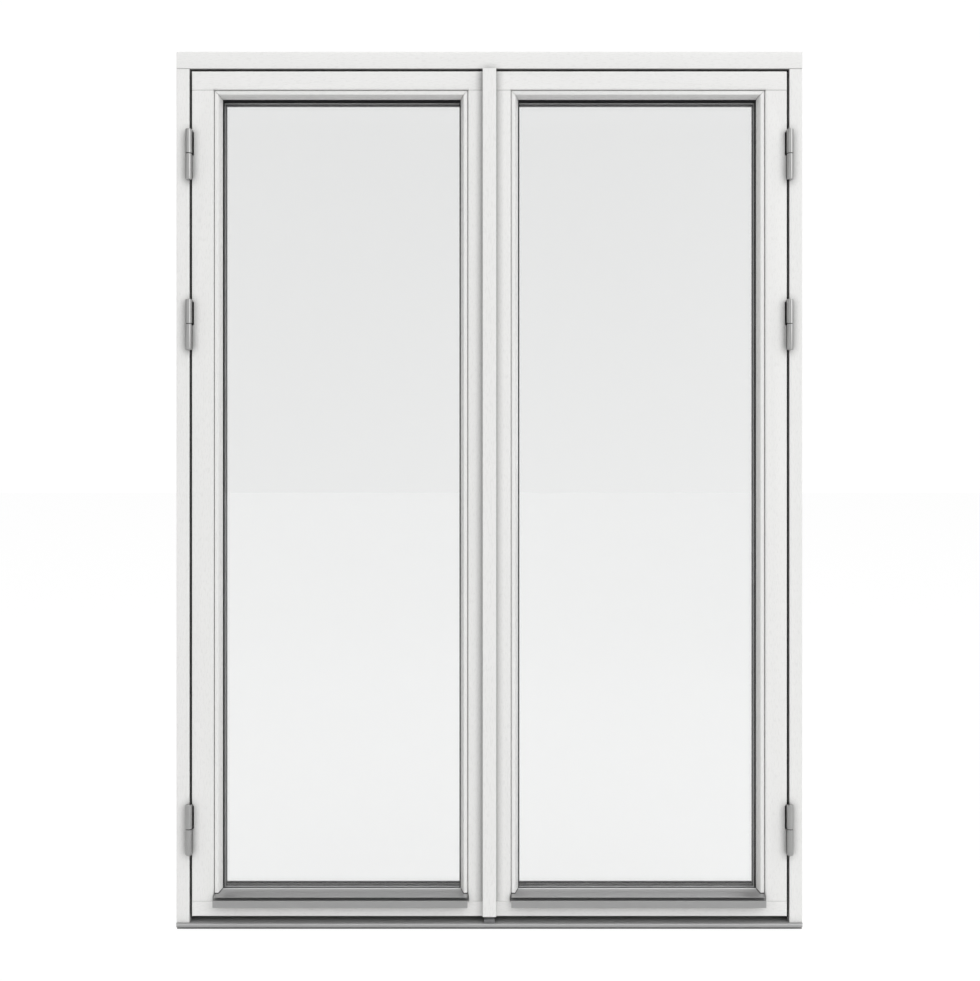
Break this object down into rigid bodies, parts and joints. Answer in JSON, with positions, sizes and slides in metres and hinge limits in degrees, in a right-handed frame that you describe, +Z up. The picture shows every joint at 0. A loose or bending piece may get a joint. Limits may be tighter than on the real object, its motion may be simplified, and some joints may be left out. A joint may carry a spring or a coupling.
{
  "type": "french doors",
  "caption": "Outward-opening pair of glazed timber terrace doors in a frame, with an astragal, weather bars, lift-off hinges and an espagnolette lock.",
  "frame": {"origin": "underside of the threshold, at the middle of its length and depth", "axes": "+Z up, +X to the right seen from outside, +Y from outside to inside"},
  "size_m": [1.49, 0.1505, 2.09],
  "materials": {
    "painted_timber": "white factory paint, satin",
    "sill_timber": "oiled hardwood",
    "aluminium_profile": "natural anodised, matt",
    "glass": "clear float glass",
    "spacer": "matt grey spacer with dark sealant",
    "black_rubber": "matt black",
    "plastic_block": "matt",
    "grey_plastic": "matt grey",
    "zinc_steel": "bright zinc plated",
    "handle_metal": "satin"
  },
  "bodies": {
    "frame": {"head": "painted_timber", "jamb_left": "painted_timber", "jamb_right": "painted_timber", "threshold": "sill_timber", "threshold_cover": "aluminium_profile", "centre_block": "grey_plastic", "frame_seal": "black_rubber", "keep_top": "zinc_steel", "keep_bottom": "zinc_steel", "hinge_sockets_left": "zinc_steel", "hinge_sockets_right": "zinc_steel", "hinge_pins": "zinc_steel", "hinge_washers": "grey_plastic", "frame_screws": "zinc_steel"},
    "active_leaf": {"active_hinge_stile": "painted_timber", "active_meeting_stile": "painted_timber", "active_top_rail": "painted_timber", "active_bottom_rail": "painted_timber", "active_bead_top": "painted_timber", "active_bead_hinge_side": "painted_timber", "active_bead_meeting_side": "painted_timber", "active_weather_bar": "aluminium_profile", "active_glass": "glass", "active_spacers": "spacer", "active_gasket_outer": "black_rubber", "active_gasket_inner": "black_rubber", "active_setting_blocks": "plastic_block", "active_hinge_knuckles": "zinc_steel", "active_hinge_screws": "zinc_steel", "astragal": "painted_timber", "astragal_seal": "black_rubber", "faceplate": "zinc_steel", "lock_case": "zinc_steel", "handle_rose": "handle_metal"},
    "passive_leaf": {"passive_hinge_stile": "painted_timber", "passive_meeting_stile": "painted_timber", "passive_top_rail": "painted_timber", "passive_bottom_rail": "painted_timber", "passive_bead_top": "painted_timber", "passive_bead_hinge_side": "painted_timber", "passive_bead_meeting_side": "painted_timber", "passive_weather_bar": "aluminium_profile", "passive_glass": "glass", "passive_spacers": "spacer", "passive_gasket_outer": "black_rubber", "passive_gasket_inner": "black_rubber", "passive_setting_blocks": "plastic_block", "passive_hinge_knuckles": "zinc_steel", "passive_hinge_screws": "zinc_steel", "flush_bolt_plates": "zinc_steel", "strike_plate": "zinc_steel"},
    "handle": {"handle_lever": "handle_metal", "spindle": "zinc_steel", "lock_hub": "zinc_steel"},
    "upper_rod": {"upper_rod": "zinc_steel"},
    "lower_rod": {"lower_rod": "zinc_steel"},
    "centre_bolt": {"centre_bolt": "zinc_steel"},
    "upper_flush_bolt": {"upper_flush_bolt": "zinc_steel"},
    "lower_flush_bolt": {"lower_flush_bolt": "zinc_steel"}
  },
  "joints": [
    {"name": "active_leaf_hinge", "type": "hinge", "parent": "frame", "child": "active_leaf", "pos_m": [0.7135, -0.0675, 1], "axis": [0, 0, 1], "range_deg": [0, 170]},
    {"name": "passive_leaf_hinge", "type": "hinge", "parent": "frame", "child": "passive_leaf", "pos_m": [-0.7135, -0.0675, 1], "axis": [0, 0, -1], "range_deg": [0, 170]},
    {"name": "handle_turn", "type": "hinge", "parent": "active_leaf", "child": "handle", "pos_m": [0.029, 0.05, 1.046], "axis": [0, 1, 0], "range_deg": [0, 180]},
    {"name": "upper_rod_shoot", "type": "slide", "parent": "active_leaf", "child": "upper_rod", "axis": [0, 0, 1], "range_m": [0, 0.022]},
    {"name": "lower_rod_shoot", "type": "slide", "parent": "active_leaf", "child": "lower_rod", "axis": [0, 0, -1], "range_m": [0, 0.022]},
    {"name": "centre_bolt_throw", "type": "slide", "parent": "active_leaf", "child": "centre_bolt", "axis": [-1, 0, 0], "range_m": [0, 0.014]},
    {"name": "upper_flush_bolt_throw", "type": "slide", "parent": "passive_leaf", "child": "upper_flush_bolt", "axis": [0, 0, 1], "range_m": [0, 0.02]},
    {"name": "lower_flush_bolt_throw", "type": "slide", "parent": "passive_leaf", "child": "lower_flush_bolt", "axis": [0, 0, -1], "range_m": [0, 0.02]}
  ],
  "couplings": [
    {"joint": "upper_rod_shoot", "follows": "handle_turn", "m_per_rad": 0.007003},
    {"joint": "lower_rod_shoot", "follows": "handle_turn", "m_per_rad": 0.007003},
    {"joint": "centre_bolt_throw", "follows": "handle_turn", "m_per_rad": 0.004456}
  ]
}
